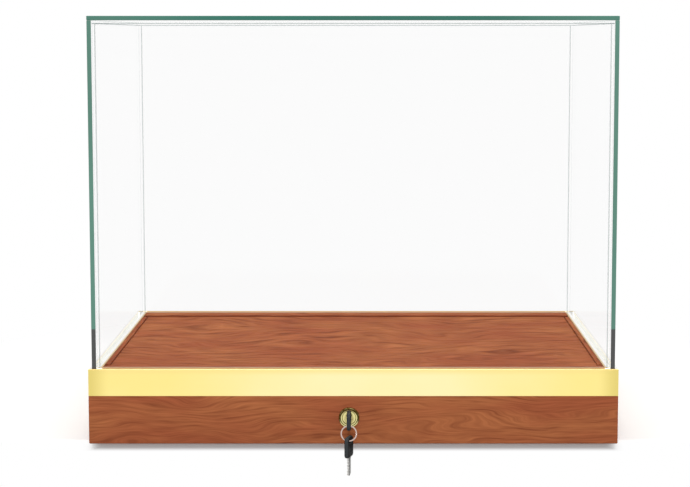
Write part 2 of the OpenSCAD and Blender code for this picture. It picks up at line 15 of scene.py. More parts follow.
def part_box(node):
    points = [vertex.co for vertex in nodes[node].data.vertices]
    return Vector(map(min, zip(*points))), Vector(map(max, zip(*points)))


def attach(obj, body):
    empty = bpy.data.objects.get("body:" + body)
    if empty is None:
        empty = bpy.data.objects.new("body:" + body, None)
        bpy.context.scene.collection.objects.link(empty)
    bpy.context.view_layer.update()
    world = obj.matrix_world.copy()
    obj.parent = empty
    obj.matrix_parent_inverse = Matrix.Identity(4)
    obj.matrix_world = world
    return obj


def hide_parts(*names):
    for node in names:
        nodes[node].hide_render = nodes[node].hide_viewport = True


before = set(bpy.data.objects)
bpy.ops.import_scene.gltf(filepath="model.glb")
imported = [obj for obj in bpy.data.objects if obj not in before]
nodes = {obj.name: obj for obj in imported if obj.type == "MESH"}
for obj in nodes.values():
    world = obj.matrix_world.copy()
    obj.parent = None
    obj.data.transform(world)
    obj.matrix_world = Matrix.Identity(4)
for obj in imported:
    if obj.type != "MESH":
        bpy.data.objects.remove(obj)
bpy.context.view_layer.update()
MM = 0.001
X, Y, Z = range(3)

# %% [markdown]
# The camera stands nearly two metres in front of the case, just below the level of the
# top pane. A studio photographer would keep it level and shift the lens, so that upright
# edges stay upright. A shift follows the camera into every other view and pushes the case
# off the picture, so here a small shift shares the work with a tilt. The values were found
# by matching the corners of the base, the deck and the glass.

# %% Camera
PHOTO_WIDTH = 690
FOCAL_PIXELS = 1663.2
SENSOR = 36.0
CAMERA_PLACE = Vector((18.8, -2087.4, 470.3)) * MM
CAMERA_TILT = math.radians(5.395)
CAMERA_SHIFT = (-0.0358, -0.075)

camera_data = bpy.data.cameras.new("camera")
camera_data.sensor_width = SENSOR
camera_data.lens = FOCAL_PIXELS / PHOTO_WIDTH * SENSOR
camera_data.shift_x, camera_data.shift_y = CAMERA_SHIFT
camera = bpy.data.objects.new("camera", camera_data)
camera.location = CAMERA_PLACE
camera.rotation_euler = (math.pi / 2 - CAMERA_TILT, 0, 0)
bpy.context.scene.collection.objects.link(camera)
bpy.context.scene.camera = camera
print("lens", round(camera_data.lens, 1), "mm")

# %% [markdown]
# Five small helpers serve every finish. The first turns a colour as a designer writes it
# into the linear values that a shader reckons in. The second adds a node, sets it up and
# links it in a single call, so that each material reads as a short list from its pattern
# to its surface. The others start a material, end it, and give it to a piece. Object
# coordinates are metres from the model's origin, so a pattern's scale is one over a real
# length.

# %% Colour and node helpers
def linear(hex_colour):
    """An sRGB colour such as #A05A37 as linear red, green, blue and alpha."""
    channels = [int(hex_colour[i:i + 2], 16) / 255 for i in (1, 3, 5)]
    return [c / 12.92 if c <= 0.04045 else ((c + 0.055) / 1.055) ** 2.4
            for c in channels] + [1.0]


def node(owner, kind, sockets=None, **settings):
    """Adds a shader node to a material or a world, makes its settings, and fills or links
    its sockets, each named, or numbered where several share a name. It gives back the
    node's output, or the node itself where it has more than one."""
    tree = owner.node_tree
    made = tree.nodes.new("ShaderNode" + kind)
    for name, value in settings.items():
        setattr(made, name, value)
    for name, value in (sockets or {}).items():
        socket = made.inputs[name] if isinstance(name, int) else next(
            s for s in made.inputs if s.enabled and s.name == name)
        if isinstance(value, bpy.types.NodeSocket):
            tree.links.new(value, socket)
        else:
            socket.default_value = value
    live = [output for output in made.outputs if output.enabled]
    return live[0] if len(live) == 1 else made


def new_finish(name):
    """An empty material, ready for its nodes."""
    made = bpy.data.materials.new(name)
    made.use_nodes = True
    made.node_tree.nodes.clear()
    return made


def surfaced(m, surface):
    """The material, once a shader is its surface."""
    node(m, "OutputMaterial", {"Surface": surface})
    return m


def finish_of(piece, finish):
    """Gives a piece its finish."""
    piece.data.materials.clear()
    piece.data.materials.append(finish)


WHITE = linear("#FFFFFF")
print("a cherry tone in linear light", [round(c, 3) for c in linear("#A05A37")[:3]])

# %% [markdown]
# The base is board faced with a cherry laminate: a printed woodgrain under a satin resin
# film. The print shows growth lines that swirl in long, lazy curves, fibres that follow
# them, and broad patches of orange and of red brown. A wave pattern alone looks like
# corduroy. Here a smooth noise, stretched along the grain, pushes the grain sideways, and
# both the lines and the fibres are drawn across the pushed grain. They bend together and
# close into the curls that a sawn board has.

# %% Figure of the laminate
PATCH_LENGTH = 190 * MM
PATCH_WIDTH = 44 * MM
# How far the noise pushes the grain from the top of its range to the bottom
GRAIN_PUSH = 66 * MM
GROWTH_LINE = 5.6 * MM
# The power that leaves only the crest of each growth line dark
LINE_SHARPNESS = 3.0
FIBRE_LENGTH = 34 * MM
# Real fibres are finer; these are the widths that still show in the photograph's frame
FIBRE_WIDTH = 1.5 * MM
STREAK_LENGTH = 60 * MM
STREAK_WIDTH = 4.5 * MM


def pushed_grain(m, axes, along, across, coarse, shift):
    """The place in the pattern of broad patches, and how far across the grain a point
    lies once the noise has pushed it."""
    cross = node(m, "Math", {0: axes[across], 1: 1 / coarse}, operation="MULTIPLY")
    # X, Y and Z are 0, 1 and 2, and add up to 3
    third = 3 - along - across
    grain = node(m, "CombineXYZ", {"X": axes[along], "Y": cross, "Z": axes[third]})
    patch = node(m, "Mapping", {
        "Vector": grain, "Location": shift,
        "Scale": (1 / PATCH_LENGTH, 1 / PATCH_WIDTH, 1 / PATCH_WIDTH)})
    swirl = node(m, "TexNoise", {
        "Vector": patch, "Scale": 1.0, "Detail": 2.0, "Roughness": 0.42,
        "Distortion": 0.35}).outputs["Fac"]
    pushed = node(m, "Math", {0: swirl, 1: GRAIN_PUSH, 2: cross},
                  operation="MULTIPLY_ADD")
    return patch, pushed


def grain_marks(m, lengthways, pushed):
    """The growth lines, the fibres and the streaks, each from 0, unmarked, to 1."""
    # Ping-pong climbs for one unit and falls for one, so a growth line takes two
    growth = node(m, "Math", {0: pushed, 1: 2 / GROWTH_LINE}, operation="MULTIPLY")
    growth = node(m, "Math", {0: growth, 1: 1.0}, operation="PINGPONG")
    growth = node(m, "Math", {0: growth, 1: LINE_SHARPNESS}, operation="POWER")
    flow = node(m, "CombineXYZ", {"X": lengthways, "Y": pushed})
    fibre_place = node(m, "Mapping", {
        "Vector": flow, "Scale": (1 / FIBRE_LENGTH, 1 / FIBRE_WIDTH, 1.0)})
    fibre = node(m, "TexNoise", {
        "Vector": fibre_place, "Scale": 1.0, "Detail": 2.0,
        "Roughness": 0.6}).outputs["Fac"]
    streak_place = node(m, "Mapping", {
        "Vector": flow, "Scale": (1 / STREAK_LENGTH, 1 / STREAK_WIDTH, 1.0)})
    streak = node(m, "TexNoise", {
        "Vector": streak_place, "Scale": 1.0, "Detail": 2.0}).outputs["Fac"]
    return growth, fibre, streak


print("growth lines", round(GROWTH_LINE / MM, 1), "mm apart, fibres",
      round(FIBRE_WIDTH / MM, 1), "mm wide")

# %% [markdown]
# The print has two grounds, an orange one and a redder one, and one dark brown for all its
# marks. How dark a point is adds up from four things: the growth lines, strongest where a
# streak runs, the fibres, the streaks, and a painted shade that darkens the low edge of a
# board. A painted shade line also runs in the corner round the deck.

# %% Tones of the laminate
# The low edge of a board, darkened by painted shade
LOW_SHADE_HEIGHT = 50 * MM
# The share of dark tone that a change of contrast leaves as it is
USUAL_DARK = 0.42
PORE_DEPTH = 0.1 * MM
# A face whose direction rises by less than this is upright
UPRIGHT = 0.5


def darkness(m, height, growth, fibre, streak, contrast, painted_shading):
    """How dark a point is, from 0 to 1."""
    strength = node(m, "MapRange", {
        "Value": streak, "From Min": 0.4, "From Max": 0.65, "To Max": 0.38})
    growth = node(m, "Math", {0: growth, 1: strength}, operation="MULTIPLY")
    fibre_dark = node(m, "MapRange", {
        "Value": fibre, "From Min": 0.35, "From Max": 0.7, "To Max": 0.44})
    dark = node(m, "Math", {0: growth, 1: fibre_dark}, operation="ADD")
    streak_dark = node(m, "MapRange", {
        "Value": streak, "From Min": 0.3, "From Max": 0.7, "To Max": 0.3})
    dark = node(m, "Math", {0: dark, 1: streak_dark}, operation="ADD")
    # Painted shade: each board darkens towards its low edge, as if lit from above
    low_shade = node(m, "MapRange", {
        "Value": height, "From Min": 0.0, "From Max": LOW_SHADE_HEIGHT, "To Min": painted_shading,
        "To Max": 0.0})
    dark = node(m, "Math", {0: dark, 1: low_shade}, operation="ADD")
    return node(m, "Math", {
        0: dark, 1: contrast, 2: USUAL_DARK * (1 - contrast)},
        operation="MULTIPLY_ADD", use_clamp=True)


def shade_line_at_foot(m, colour, facing, height, foot):
    """The colour with a painted shade line on upright faces, below the height of the foot.
    """
    upright = node(m, "Math", {0: facing[Z], 1: UPRIGHT}, operation="LESS_THAN")
    line = node(m, "Math", {0: height, 1: foot}, operation="LESS_THAN")
    line = node(m, "Math", {0: line, 1: upright}, operation="MULTIPLY")
    # Painted shade: the dark line where the border's upright face meets the deck
    return node(m, "Mix", {
        "Factor": line, "A": colour, "B": linear("#6E2F14")}, data_type="RGBA")


def cherry(name, along, across, contrast, shift, film, coarse=1, painted_shading=0.0, foot=0.0):
    """Laminate whose grain runs along one axis and is crossed by another."""
    m = new_finish(name)
    coordinates = node(m, "TexCoord").outputs
    axes = node(m, "SeparateXYZ", {"Vector": coordinates["Object"]}).outputs
    patch, pushed = pushed_grain(m, axes, along, across, coarse, shift)
    growth, fibre, streak = grain_marks(m, axes[along], pushed)
    tone = node(m, "TexNoise", {
        "Vector": patch, "Scale": 1.6, "Detail": 2.0, "Roughness": 0.5}).outputs["Fac"]
    redness = node(m, "MapRange", {"Value": tone, "From Min": 0.35, "From Max": 0.65})
    ground = node(m, "Mix", {
        "Factor": redness, "A": linear("#B86F44"), "B": linear("#AA5C3A")},
        data_type="RGBA")
    dark = darkness(m, axes[Z], growth, fibre, streak, contrast, painted_shading)
    colour = node(m, "Mix", {
        "Factor": dark, "A": ground, "B": linear("#7A3D22")}, data_type="RGBA")
    if foot:
        facing = node(m, "SeparateXYZ", {"Vector": coordinates["Normal"]}).outputs
        colour = shade_line_at_foot(m, colour, facing, axes[Z], foot)
    bump = node(m, "Bump", {"Height": fibre, "Strength": 0.08, "Distance": PORE_DEPTH})
    surface = node(m, "BsdfPrincipled", {
        "Base Color": colour, "Roughness": 0.6, "Specular IOR Level": 0.0,
        "Coat Weight": film, "Coat Roughness": 0.35, "Normal": bump})
    return surfaced(m, surface)


deck_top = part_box("deck_panel")[1].z
print("the deck lies at", round(deck_top / MM, 1), "mm")

# %% [markdown]
# Each finish takes its figure from another place in the pattern, as if it were cut from
# another part of the sheet. The boards still shine, but goods slid in and out have worn
# the film on the deck and its border dull.

# %% Boards, deck and border
# The camera sees the deck at a low angle, so its figure is drawn this much wider
DECK_COARSE = 2.7
BORDER_COARSE = 1.6
BOARD_FILM = 0.25
WORN_FILM = 0.06
# How dark the painted shade is at a board's low edge
BOARD_LOW_SHADE = 0.2
# A painted shade line stands this high in the corner between the deck and its border
SHADE_LINE_HEIGHT = 1.3 * MM

cherry_front = cherry("cherry_front", X, Z, contrast=0.9, shift=(3.1, 0.4, 0.0),
                      film=BOARD_FILM, painted_shading=BOARD_LOW_SHADE)
cherry_side = cherry("cherry_side", Y, Z, contrast=0.9, shift=(7.7, 1.9, 0.0),
                     film=BOARD_FILM, painted_shading=BOARD_LOW_SHADE)
cherry_deck = cherry("cherry_deck", X, Y, contrast=1.5, shift=(1.3, 5.2, 0.0),
                     film=WORN_FILM, coarse=DECK_COARSE)
border_long = cherry("border_long", X, Y, contrast=1.2, shift=(4.4, 2.5, 0.0),
                     film=WORN_FILM, coarse=BORDER_COARSE, foot=deck_top + SHADE_LINE_HEIGHT)
border_side = cherry("border_side", Y, X, contrast=1.2, shift=(9.2, 3.6, 0.0),
                     film=WORN_FILM, coarse=BORDER_COARSE)
for name, finish in {
        "front_board": cherry_front, "back_board": cherry_front,
        "left_board": cherry_side, "right_board": cherry_side}.items():
    finish_of(nodes[name], finish)
for name, finish in {
        "deck_panel": cherry_deck, "front_rail": border_long, "back_rail": border_long,
        "left_rail": border_side, "right_rail": border_side}.items():
    finish_of(nodes[name], finish)
print("laminate on 4 boards, the deck and 4 rails of its border")

# %% [markdown]
# What has no laminate is plywood: the bottom panel, the two bearers under the deck and the
# corner blocks. Its face veneer is pale birch with faint long bands, and it stays bare, so
# it is dull. Its edge shows the plies as thin lines. One noise gives both when it is
# stretched by a different length along each axis.

# %% Birch plywood
BAND_LENGTH = 260 * MM
BAND_WIDTH = 14 * MM
PLY = 1.4 * MM
VENEER_RELIEF = 0.2 * MM


def birch_plywood():
    m = new_finish("birch_plywood")
    place = node(m, "TexCoord").outputs["Object"]
    bands_place = node(m, "Mapping", {
        "Vector": place, "Scale": (1 / BAND_LENGTH, 1 / BAND_WIDTH, 1 / PLY)})
    bands = node(m, "TexNoise", {
        "Vector": bands_place, "Scale": 1.0, "Detail": 4.0,
        "Roughness": 0.55}).outputs["Fac"]
    colour = node(m, "Mix", {
        "Factor": bands, "A": linear("#D9BE93"), "B": linear("#B8955F")},
        data_type="RGBA")
    bump = node(m, "Bump", {"Height": bands, "Strength": 0.2, "Distance": VENEER_RELIEF})
    surface = node(m, "BsdfPrincipled", {
        "Base Color": colour, "Roughness": 0.7, "Normal": bump})
    return surfaced(m, surface)


plywood = birch_plywood()
for name in ("deck_bearers", "corner_blocks", "bottom_panel"):
    finish_of(nodes[name], plywood)
print("bare plywood, plies", round(PLY / MM, 1), "mm thick")

# %% [markdown]
# The frame is extruded aluminium, etched and then anodised pale gold. Its colour carries a
# painted sheen, palest a little to one side of the middle, and painted shade that deepens
# its top edge and its ends. The colour is built up in that order: the fade along the bar,
# then its top edge, then its ends.

# %% Gold with painted sheen
# The painted sheen is palest a little to one side of a bar's middle
SHEEN_PLACE = 26 * MM
SHEEN_CORE = 26.2 * MM
SHEEN_REACH = 262 * MM
END_SHADE = 26 * MM
EDGE_SHADE = 9 * MM
DRIFTS_PER_METRE = 14.0
DYE_DRIFT = 0.12


def gold_with_painted_sheen(m, place, axes, along, half_length, top):
    """The gold of a bar that runs along one axis, with its painted sheen and shade."""
    aside = node(m, "Math", {0: axes[along], 1: SHEEN_PLACE}, operation="SUBTRACT")
    aside = node(m, "Math", {0: aside}, operation="ABSOLUTE")
    sheen_and_tone = node(m, "MapRange", {
        "Value": aside, "From Min": SHEEN_CORE, "From Max": SHEEN_REACH},
        interpolation_type="SMOOTHSTEP")
    drift = node(m, "TexNoise", {
        "Vector": place, "Scale": DRIFTS_PER_METRE, "Detail": 2.0}).outputs["Fac"]
    drift = node(m, "MapRange", {
        "Value": drift, "From Min": 0.3, "From Max": 0.7, "To Min": -DYE_DRIFT,
        "To Max": DYE_DRIFT})
    sheen_and_tone = node(m, "Math", {0: sheen_and_tone, 1: drift}, operation="ADD", use_clamp=True)
    gold = node(m, "Mix", {
        "Factor": sheen_and_tone, "A": linear("#FFF2B8"), "B": linear("#FDE993")}, data_type="RGBA")
    # Painted shade deepens the top edge and the ends of each bar
    edge = node(m, "MapRange", {
        "Value": axes[Z], "From Min": top - EDGE_SHADE, "From Max": top,
        "To Max": 0.75}, interpolation_type="SMOOTHSTEP")
    gold = node(m, "Mix", {
        "Factor": edge, "A": gold, "B": linear("#FBE391")}, data_type="RGBA")
    outward = node(m, "Math", {0: axes[along]}, operation="ABSOLUTE")
    end = node(m, "MapRange", {
        "Value": outward, "From Min": half_length - END_SHADE, "From Max": half_length},
        interpolation_type="SMOOTHSTEP")
    return node(m, "Mix", {
        "Factor": end, "A": gold, "B": linear("#E6D27B")}, data_type="RGBA")


bar_low, bar_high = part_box("frame_right")
print("gold bars", round((bar_high.z - bar_low.z) / MM, 1), "mm high")

# %% [markdown]
# The etch leaves a satin skin that blurs what it mirrors, and the die leaves faint lines
# along the length. As a metal it takes its colour in the reflection, so the base colour is
# the gold itself. On the long bars the polish of the deck has stained the inner leg brown.
# On the side bars, a painted reflection of the white room covers the top face in a dull
# white, from the foot of the glass almost to the deck, so that only a fine line of gold
# shows there. The painted white isn't metal, so it is a second shader, mixed over the first.

# %% Gold anodised aluminium
DIE_LINE = 0.5 * MM
DIE_LENGTH = 120 * MM
DIE_DEPTH = 0.05 * MM
# A face whose direction rises by more than this is a top face
UPWARD = 0.3
FINE_LINE = 2.2 * MM
FINE_LINE_BLUR = 0.66 * MM
# The leg of a bar between the glass and the deck
INNER_LEG = 5.3 * MM
# The painted reflection's streaks run along the bar
REFLECTION_STREAK_LENGTH = 40 * MM
REFLECTION_STREAK_WIDTH = 4 * MM


def painted_white_reflection(m, place):
    """A painted reflection of the white room: a dull white, streaked along Y."""
    streaks = node(m, "Mapping", {
        "Vector": place, "Scale": (1 / REFLECTION_STREAK_WIDTH, 1 / REFLECTION_STREAK_LENGTH, 1.0)})
    thickness = node(m, "TexNoise", {
        "Vector": streaks, "Scale": 1.0, "Detail": 3.0}).outputs["Fac"]
    white = node(m, "Mix", {
        "Factor": thickness, "A": linear("#F4F4F2"), "B": linear("#EAE9E5")},
        data_type="RGBA")
    return node(m, "BsdfPrincipled", {"Base Color": white, "Roughness": 0.5})


def gold_aluminium(name, along, half_length, top, stained_within=0, reflection_from=0):
    """Anodised aluminium with the die's lines along one axis. Its top face is stained
    within one distance from the middle, or carries a painted white reflection beyond
    another."""
    m = new_finish(name)
    coordinates = node(m, "TexCoord").outputs
    place = coordinates["Object"]
    axes = node(m, "SeparateXYZ", {"Vector": place}).outputs
    facing = node(m, "SeparateXYZ", {"Vector": coordinates["Normal"]}).outputs
    upward = node(m, "Math", {0: facing[Z], 1: UPWARD}, operation="GREATER_THAN")
    scale = [1 / DIE_LINE] * 3
    scale[along] = 1 / DIE_LENGTH
    lines_place = node(m, "Mapping", {"Vector": place, "Scale": scale})
    lines = node(m, "TexNoise", {
        "Vector": lines_place, "Scale": 1.0, "Detail": 2.0}).outputs["Fac"]
    gold = gold_with_painted_sheen(m, place, axes, along, half_length, top)
    top_gold = linear("#D8B97E")
    if stained_within:
        inner = node(m, "Math", {0: axes[Y]}, operation="ABSOLUTE")
        inner = node(m, "Math", {0: inner, 1: stained_within}, operation="LESS_THAN")
        top_gold = node(m, "Mix", {
            "Factor": inner, "A": top_gold, "B": linear("#A9744C")}, data_type="RGBA")
    gold = node(m, "Mix", {"Factor": upward, "A": gold, "B": top_gold}, data_type="RGBA")
    roughness = node(m, "MapRange", {"Value": lines, "To Min": 0.28, "To Max": 0.4})
    bump = node(m, "Bump", {"Height": lines, "Strength": 0.05, "Distance": DIE_DEPTH})
    surface = node(m, "BsdfPrincipled", {
        "Base Color": gold, "Metallic": 1.0, "Roughness": roughness, "Normal": bump})
    # Painted reflection: the side bars' top face is a dull white, for the white room it
    # mirrors
    if reflection_from:
        sideways = node(m, "Math", {0: axes[X]}, operation="ABSOLUTE")
        reflecting = node(m, "MapRange", {
            "Value": sideways, "From Min": reflection_from - FINE_LINE_BLUR,
            "From Max": reflection_from})
        reflecting = node(m, "Math", {0: reflecting, 1: upward}, operation="MULTIPLY")
        surface = node(m, "MixShader", {0: reflecting, 1: surface, 2: painted_white_reflection(m, place)})
    return surfaced(m, surface)


# The long bars' inner faces lie this far in front of and behind the middle
inner_face = -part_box("frame_front")[1].y
gold_long = gold_aluminium("gold_long", X, bar_high.x, bar_high.z,
                           stained_within=inner_face + INNER_LEG)
gold_side = gold_aluminium("gold_side", Y, bar_high.y, bar_high.z,
                           reflection_from=bar_low.x + FINE_LINE)
for name, finish in {"frame_front": gold_long, "frame_back": gold_long,
                     "frame_left": gold_side, "frame_right": gold_side}.items():
    finish_of(nodes[name], finish)
print("the deck's polish ends", round((inner_face + INNER_LEG) / MM, 1), "mm out")

# %% [markdown]
# Each pane is clear float glass with polished edges. Looked at through its face it is
# nearly invisible; looked at along its length it is green, because the light has come a
# long way through the iron in it. So an edge is a glossy green of its own, faintly
# mottled, and paler towards the corners, where the way is short. The lowest part of each
# upright edge is painted grey, a painted dark reflection.

# %% Glass edges
DEEP_REACH = 120 * MM
LIGHT_REACH = 290 * MM
MOTTLES_PER_METRE = 9.0
GREY_REFLECTION_TOP = 134 * MM
GREY_REFLECTION_FADE = 1.5 * MM


def polished_edge(m, place, light, deep):
    """A glossy edge, deep green in the middle and light green at the corners, with a painted
    grey reflection low down.
    """
    axes = node(m, "SeparateXYZ", {"Vector": place}).outputs
    outward = node(m, "Math", {0: axes[X]}, operation="ABSOLUTE")
    paler = node(m, "MapRange", {
        "Value": outward, "From Min": DEEP_REACH, "From Max": LIGHT_REACH},
        interpolation_type="SMOOTHSTEP")
    green = node(m, "Mix", {
        "Factor": paler, "A": linear(deep), "B": linear(light)}, data_type="RGBA")
    mottle = node(m, "TexNoise", {
        "Vector": place, "Scale": MOTTLES_PER_METRE, "Detail": 1.0}).outputs["Fac"]
    mottle = node(m, "MapRange", {
        "Value": mottle, "From Min": 0.35, "From Max": 0.65, "To Max": 0.25})
    green = node(m, "Mix", {
        "Factor": mottle, "A": green, "B": linear("#2E5A4C")}, data_type="RGBA")
    # Painted reflection: the lowest part of an upright edge is grey
    low = node(m, "MapRange", {
        "Value": axes[Z], "From Min": GREY_REFLECTION_TOP - GREY_REFLECTION_FADE, "From Max": GREY_REFLECTION_TOP,
        "To Min": 1.0, "To Max": 0.0})
    tint = node(m, "Mix", {
        "Factor": low, "A": green, "B": linear("#444545")}, data_type="RGBA")
    return node(m, "BsdfPrincipled", {"Base Color": tint, "Roughness": 0.12, "IOR": 1.52})


print("grey up to", round((GREY_REFLECTION_TOP - bar_high.z) / MM), "mm above the frame")

# %% [markdown]
# Real refraction would take thousands of samples to settle, so the face of a pane is a
# clear film with a share of gloss that grows towards grazing views. The direction that
# the surface faces tells face and edge apart. Light crosses two surfaces in each pane,
# and only the one by which it enters has gloss or green, so that nothing counts twice.

# %% Clear float glass
# Glass has 1.52. A plain white room hides most of its gloss, so less of it is drawn
MIRROR_IOR = 1.25
MOST_GLOSS = 0.05


def clear_face(m, entered):
    """A clear film, with gloss where the ray enters the glass."""
    film = node(m, "BsdfTransparent", {"Color": linear("#FEFEFE")})
    gloss = node(m, "BsdfAnisotropic", {"Color": WHITE, "Roughness": 0.0})
    fresnel = node(m, "Fresnel", {"IOR": MIRROR_IOR})
    capped = node(m, "Math", {0: fresnel, 1: MOST_GLOSS}, operation="MINIMUM")
    mirror = node(m, "Math", {0: capped, 1: entered}, operation="MULTIPLY")
    return node(m, "MixShader", {0: mirror, 1: film, 2: gloss})


def float_glass(name, across, flatness, light, deep):
    """A pane whose thickness lies along one axis. A face that looks along that axis by
    less than its flatness is an edge; the arrises count as edge where it is high."""
    m = new_finish(name)
    coordinates = node(m, "TexCoord").outputs
    facing = node(m, "SeparateXYZ", {"Vector": coordinates["Normal"]}).outputs
    size = node(m, "Math", {0: facing[across]}, operation="ABSOLUTE")
    edge = node(m, "Math", {0: size, 1: flatness}, operation="LESS_THAN")
    left = node(m, "NewGeometry").outputs["Backfacing"]
    entered = node(m, "Math", {0: 1.0, 1: left}, operation="SUBTRACT")
    seen_edge = node(m, "Math", {0: edge, 1: entered}, operation="MULTIPLY")
    surface = node(m, "MixShader", {
        0: seen_edge, 1: clear_face(m, entered),
        2: polished_edge(m, coordinates["Object"], light, deep)})
    return surfaced(m, surface)


glass_across_x = float_glass("glass_across_x", X, 0.9, light="#588A79", deep="#588A79")
glass_across_y = float_glass("glass_across_y", Y, 0.5, light="#588A79", deep="#588A79")
glass_across_z = float_glass("glass_across_z", Z, 0.9, light="#48806F", deep="#1C705F")
for name, finish in {"glass_left": glass_across_x, "glass_right": glass_across_x,
                     "glass_front": glass_across_y, "glass_back": glass_across_y,
                     "glass_top": glass_across_z}.items():
    finish_of(nodes[name], finish)
top_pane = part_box("glass_top")
print("panes", round((top_pane[1].z - top_pane[0].z) / MM, 1), "mm thick")

# %% [markdown]
# A bead of clear resin in each inner corner holds the panes together. It shows only where
# its thin edge ends on the glass, as a fine grey line. So the line is drawn there, on the
# legs that lie on the glass, and the rest of the bead is clear.

# %% Clear beads
LINE_WIDTH = 1.3 * MM
# A face that looks along an axis by more than this lies on the pane across that axis
ON_PANE = 0.9


def clear_bead(name, leg_limits):
    """A clear bead. Each limit is (axis that a leg faces, axis across the line, where
    the line ends), and the line lies inside that distance from the middle."""
    m = new_finish(name)
    coordinates = node(m, "TexCoord").outputs
    facing = node(m, "SeparateXYZ", {"Vector": coordinates["Normal"]}).outputs
    place = node(m, "SeparateXYZ", {"Vector": coordinates["Object"]}).outputs
    line = None
    for leg, across, limit in leg_limits:
        on_leg = node(m, "Math", {0: facing[leg]}, operation="ABSOLUTE")
        on_leg = node(m, "Math", {0: on_leg, 1: ON_PANE}, operation="GREATER_THAN")
        reach = node(m, "Math", {0: place[across]}, operation="ABSOLUTE")
        reach = node(m, "Math", {0: reach, 1: limit}, operation="LESS_THAN")
        part = node(m, "Math", {0: on_leg, 1: reach}, operation="MULTIPLY")
        line = part if line is None else node(
            m, "Math", {0: line, 1: part}, operation="MAXIMUM")
    tint = node(m, "Mix", {
        "Factor": line, "A": WHITE, "B": linear("#CFD4D3")}, data_type="RGBA")
    film = node(m, "BsdfTransparent", {"Color": tint})
    return surfaced(m, film)


top_low, top_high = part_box("top_beads")
bead_leg = top_high.z - top_low.z
bead_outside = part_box("corner_beads")[1]
across_x = bead_outside.x - bead_leg + LINE_WIDTH
across_y = bead_outside.y - bead_leg + LINE_WIDTH
across_z = top_low.z + LINE_WIDTH
finish_of(nodes["corner_beads"],
          clear_bead("standing_beads", [(Y, X, across_x), (X, Y, across_y)]))
finish_of(nodes["top_beads"],
          clear_bead("lying_beads", [(X, Z, across_z), (Y, Z, across_z)]))
print("bead legs", round(bead_leg / MM, 2), "mm")

# %% [markdown]
# Four helpers make the small pieces. The first gives a copy of a imported node with its
# loose triangles merged, because only then do its edges know their two faces. The second
# makes one face of all that lie in a plane, and the third picks sharp edges for a bevel.
# The last turns a finished mesh into a piece: it smooths the round faces, keeps the sharp
# edges sharp, hides the node that the piece stands for and hangs the piece on its body.

# %% Helpers for new pieces
# Faces that meet at more than this have a sharp edge, and at less than the other are flat
SHARP = math.radians(32)
FLAT = math.radians(1)
MERGE = 0.001 * MM
# Points within this of a plane count as lying in it
NEAR = 0.01 * MM


def merged_copy(name):
    """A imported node's mesh with its loose triangles merged."""
    bm = bmesh.new()
    bm.from_mesh(nodes[name].data)
    bmesh.ops.remove_doubles(bm, verts=bm.verts, dist=MERGE)
    return bm


def flattened(bm):
    """The mesh with one face where several lay in one plane."""
    bmesh.ops.dissolve_limit(bm, angle_limit=FLAT, verts=bm.verts, edges=bm.edges)
    return bm


def sharp_edges(bm, keep=lambda e: True):
    """The sharp edges between two faces, where keep says yes."""
    return [e for e in bm.edges
            if len(e.link_faces) == 2 and e.calc_face_angle() > SHARP and keep(e)]


def stand_in(bm, name, node_name, body, finish):
    """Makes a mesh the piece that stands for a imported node."""
    bmesh.ops.remove_doubles(bm, verts=bm.verts, dist=MERGE)
    bmesh.ops.recalc_face_normals(bm, faces=bm.faces)
    mesh = bpy.data.meshes.new(name)
    bm.to_mesh(mesh)
    bm.free()
    mesh.shade_smooth()
    mesh.set_sharp_from_angle(angle=SHARP)
    made = bpy.data.objects.new(name, mesh)
    bpy.context.scene.collection.objects.link(made)
    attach(made, body)
    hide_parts(node_name)
    finish_of(made, finish)
    print(name, "with", len(mesh.polygons), "faces")


print("an edge is sharp from", round(math.degrees(SHARP)), "degrees")

# %% [markdown]
# The small metal: a brass lock, nickel plated keys and ring, and zinc plated steel on the
# parts that nobody sees. Each is a metal with its own colour and its own polish, and a
# faint noise in the roughness stands for handling.

# %% Brass, nickel, zinc
BRASS = "#E1D796"


def metal(name, colour, smooth, rough, spot):
    """A bare metal whose roughness wanders between two values."""
    m = new_finish(name)
    place = node(m, "TexCoord").outputs["Object"]
    wear = node(m, "TexNoise", {
        "Vector": place, "Scale": 1 / spot, "Detail": 3.0}).outputs["Fac"]
    roughness = node(m, "MapRange", {
        "Value": wear, "From Min": 0.3, "From Max": 0.7, "To Min": smooth,
        "To Max": rough})
    surface = node(m, "BsdfPrincipled", {
        "Base Color": linear(colour), "Metallic": 1.0, "Roughness": roughness})
    return surfaced(m, surface)


brass = metal("polished_brass", BRASS, smooth=0.12, rough=0.28, spot=3 * MM)
nickel = metal("nickel_plate", "#CBB6AD", smooth=0.1, rough=0.22, spot=4 * MM)
zinc = metal("zinc_plate", "#B4B8BD", smooth=0.3, rough=0.5, spot=6 * MM)
finish_of(nodes["lock_nut"], brass)
plated_steel = ("bottom_screws", "corner_keys", "lock_strike", "strike_screws",
                "lock_cam", "cam_screw")
for name in plated_steel:
    finish_of(nodes[name], zinc)
print("zinc on", len(plated_steel), "nodes inside the case")

# %% [markdown]
# The lock's housing is turned from brass bar and its flange is polished. The roll of its
# rim carries a painted dark reflection round the top and the sides, and stays bright at
# the bottom. The painted reflection is drawn by the distance from the lock's axis. The
# flange gets a fine turned groove: the flat ring of its face is inset twice, and the
# second inset goes in.

# %% Lock housing
DARK_REFLECTION_FROM = 9.4 * MM
DARK_REFLECTION_FULL = 10.2 * MM
# How much further in the painted reflection reaches for each millimetre above the lock's
# middle
DARK_REFLECTION_CREEP = 0.18
DARK_REFLECTION_SPOT = 2.5 * MM
# Heights from the lock's middle below which the rim stays bright, and above which the
# painted reflection is full
BRIGHT_BELOW = -7 * MM
DARK_ABOVE = -3.5 * MM
GROOVE_INSET = 1.0 * MM
GROOVE_SLOPE = 0.12 * MM
GROOVE_DEPTH = 0.15 * MM

housing_low, housing_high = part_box("lock_housing")
lock_axis = Vector(((housing_low.x + housing_high.x) / 2, housing_low.y,
                    (housing_low.z + housing_high.z) / 2))


